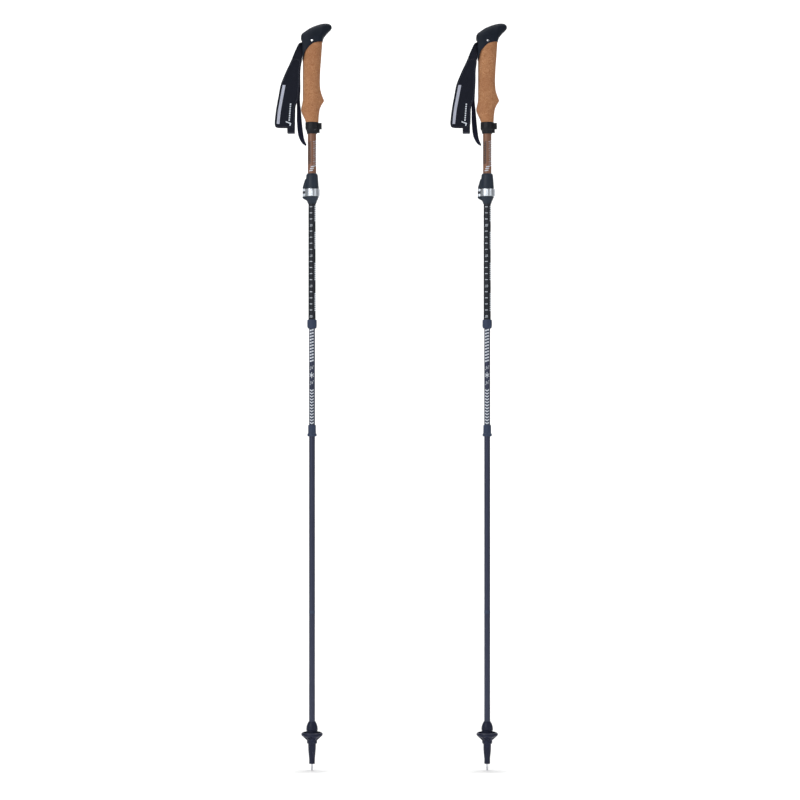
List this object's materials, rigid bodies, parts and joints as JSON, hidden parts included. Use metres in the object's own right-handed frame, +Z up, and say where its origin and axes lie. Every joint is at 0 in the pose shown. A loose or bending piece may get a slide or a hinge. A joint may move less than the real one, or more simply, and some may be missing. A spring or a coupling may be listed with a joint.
{
  "type": "trekking poles",
  "caption": "Pair of folding trekking poles with cork grips, padded wrist straps, lever-locked upper shafts, corded folding sections, trekking baskets and carbide tips.",
  "frame": {"origin": "middle of the pair's bounding box at the bottom, level with the points of the tips", "axes": "+Z up along the poles, +X the way the heads' beaks point, from the left pole to the right pole, +Y away from the viewer"},
  "size_m": [0.3832, 0.0358, 1.232],
  "materials": {
    "head_rubber": "matte moulded rubber, faintly blue-black",
    "cork": "natural granulated cork, sanded matte",
    "black_plastic": "moulded, fine texture",
    "handle_tube_finish": "satin tan finish with dark print",
    "steel": "plain",
    "dark_steel": "blackened",
    "lock_plastic": "glass-filled nylon, slate black",
    "lever_metal": "satin polished",
    "nylon": "natural",
    "shaft_finish": "satin navy-black anodised look",
    "ferrule_finish": "slate, satin",
    "guide_metal": "turned",
    "cord_jacket": "extruded jacket over steel cable",
    "tip_plastic": "hard moulded, satin",
    "carbide": "ground",
    "strap_webbing": "woven polyester webbing",
    "strap_padding": "knit-faced foam with woven edge binding"
  },
  "bodies": {
    "left_handle": {"left_head_cap": "head_rubber", "left_cork_grip": "cork", "left_grip_collar": "black_plastic", "left_handle_tube": "handle_tube_finish", "left_roll_pins": "steel", "left_tension_screw": "dark_steel", "left_lock_housing": "lock_plastic"},
    "left_lever": {"left_lock_lever": "lever_metal"},
    "left_shaft": {"left_upper_bushing": "nylon", "left_upper_shaft": "shaft_finish", "left_ferrule_1": "ferrule_finish", "left_button_spring": "steel", "left_cord_a": "cord_jacket"},
    "left_button": {"left_release_button": "steel"},
    "left_middle": {"left_middle_tube": "shaft_finish", "left_guide_1": "guide_metal", "left_ferrule_2": "ferrule_finish", "left_cord_b": "cord_jacket"},
    "left_lower": {"left_guide_2": "guide_metal", "left_lower_tube": "shaft_finish", "left_joint_ring": "ferrule_finish", "left_cord_c": "cord_jacket"},
    "left_bottom": {"left_guide_3": "guide_metal", "left_bottom_tube": "shaft_finish", "left_cord_d": "cord_jacket", "left_tip_ferrule": "tip_plastic", "left_carbide_tip": "carbide"},
    "left_basket": {"left_basket": "tip_plastic"},
    "left_strap": {"left_wrist_strap": "strap_webbing", "left_strap_pad": "strap_padding"},
    "right_handle": {"right_head_cap": "head_rubber", "right_cork_grip": "cork", "right_grip_collar": "black_plastic", "right_handle_tube": "handle_tube_finish", "right_roll_pins": "steel", "right_tension_screw": "dark_steel", "right_lock_housing": "lock_plastic"},
    "right_lever": {"right_lock_lever": "lever_metal"},
    "right_shaft": {"right_upper_bushing": "nylon", "right_upper_shaft": "shaft_finish", "right_ferrule_1": "ferrule_finish", "right_button_spring": "steel", "right_cord_a": "cord_jacket"},
    "right_button": {"right_release_button": "steel"},
    "right_middle": {"right_middle_tube": "shaft_finish", "right_guide_1": "guide_metal", "right_ferrule_2": "ferrule_finish", "right_cord_b": "cord_jacket"},
    "right_lower": {"right_guide_2": "guide_metal", "right_lower_tube": "shaft_finish", "right_joint_ring": "ferrule_finish", "right_cord_c": "cord_jacket"},
    "right_bottom": {"right_guide_3": "guide_metal", "right_bottom_tube": "shaft_finish", "right_cord_d": "cord_jacket", "right_tip_ferrule": "tip_plastic", "right_carbide_tip": "carbide"},
    "right_basket": {"right_basket": "tip_plastic"},
    "right_strap": {"right_wrist_strap": "strap_webbing", "right_strap_pad": "strap_padding"}
  },
  "joints": [
    {"name": "right_pole_slide", "type": "slide", "parent": "left_handle", "child": "right_handle", "axis": [1, 0, 0], "range_m": [-0.15, 0.3]},
    {"name": "left_strap_swing", "type": "hinge", "parent": "left_handle", "child": "left_strap", "pos_m": [-0.14865, 0, 1.196], "axis": [0, 1, 0], "range_deg": [0, 110]},
    {"name": "left_lever_open", "type": "hinge", "parent": "left_handle", "child": "left_lever", "pos_m": [-0.14275, 0, 0.953], "axis": [0, 0, -1], "range_deg": [0, 110]},
    {"name": "left_length_slide", "type": "slide", "parent": "left_handle", "child": "left_shaft", "axis": [0, 0, -1], "range_m": [-0.185, 0.015]},
    {"name": "left_button_press", "type": "slide", "parent": "left_shaft", "child": "left_button", "axis": [0, -1, 0], "range_m": [0, 0.0015], "stiffness_N_per_m": 300, "deforming": ["left_button_spring"]},
    {"name": "left_upper_fold", "type": "hinge", "parent": "left_shaft", "child": "left_middle", "pos_m": [-0.13015, 0.012, 0.729], "axis": [1, 0, 0], "range_deg": [0, 179.5], "stiffness_Nm_per_rad": 0.02, "springref_deg": -114.59},
    {"name": "left_middle_fold", "type": "hinge", "parent": "left_middle", "child": "left_lower", "pos_m": [-0.13015, -0.015, 0.551], "axis": [-1, 0, 0], "range_deg": [0, 179.5], "stiffness_Nm_per_rad": 0.02, "springref_deg": -114.59},
    {"name": "left_lower_fold", "type": "hinge", "parent": "left_lower", "child": "left_bottom", "pos_m": [-0.13015, 0.012, 0.259], "axis": [1, 0, 0], "range_deg": [0, 179.5], "stiffness_Nm_per_rad": 0.02, "springref_deg": -114.59},
    {"name": "left_basket_off", "type": "slide", "parent": "left_bottom", "child": "left_basket", "axis": [0, 0, -1], "range_m": [0, 0.07]},
    {"name": "right_strap_swing", "type": "hinge", "parent": "right_handle", "child": "right_strap", "pos_m": [0.14035, 0, 1.196], "axis": [0, 1, 0], "range_deg": [0, 110]},
    {"name": "right_lever_open", "type": "hinge", "parent": "right_handle", "child": "right_lever", "pos_m": [0.14625, 0, 0.953], "axis": [0, 0, -1], "range_deg": [0, 110]},
    {"name": "right_length_slide", "type": "slide", "parent": "right_handle", "child": "right_shaft", "axis": [0, 0, -1], "range_m": [-0.185, 0.015]},
    {"name": "right_button_press", "type": "slide", "parent": "right_shaft", "child": "right_button", "axis": [0, -1, 0], "range_m": [0, 0.0015], "stiffness_N_per_m": 300, "deforming": ["right_button_spring"]},
    {"name": "right_upper_fold", "type": "hinge", "parent": "right_shaft", "child": "right_middle", "pos_m": [0.15885, 0.012, 0.729], "axis": [1, 0, 0], "range_deg": [0, 179.5], "stiffness_Nm_per_rad": 0.02, "springref_deg": -114.59},
    {"name": "right_middle_fold", "type": "hinge", "parent": "right_middle", "child": "right_lower", "pos_m": [0.15885, -0.015, 0.551], "axis": [-1, 0, 0], "range_deg": [0, 179.5], "stiffness_Nm_per_rad": 0.02, "springref_deg": -114.59},
    {"name": "right_lower_fold", "type": "hinge", "parent": "right_lower", "child": "right_bottom", "pos_m": [0.15885, 0.012, 0.259], "axis": [1, 0, 0], "range_deg": [0, 179.5], "stiffness_Nm_per_rad": 0.02, "springref_deg": -114.59},
    {"name": "right_basket_off", "type": "slide", "parent": "right_bottom", "child": "right_basket", "axis": [0, 0, -1], "range_m": [0, 0.07]}
  ]
}
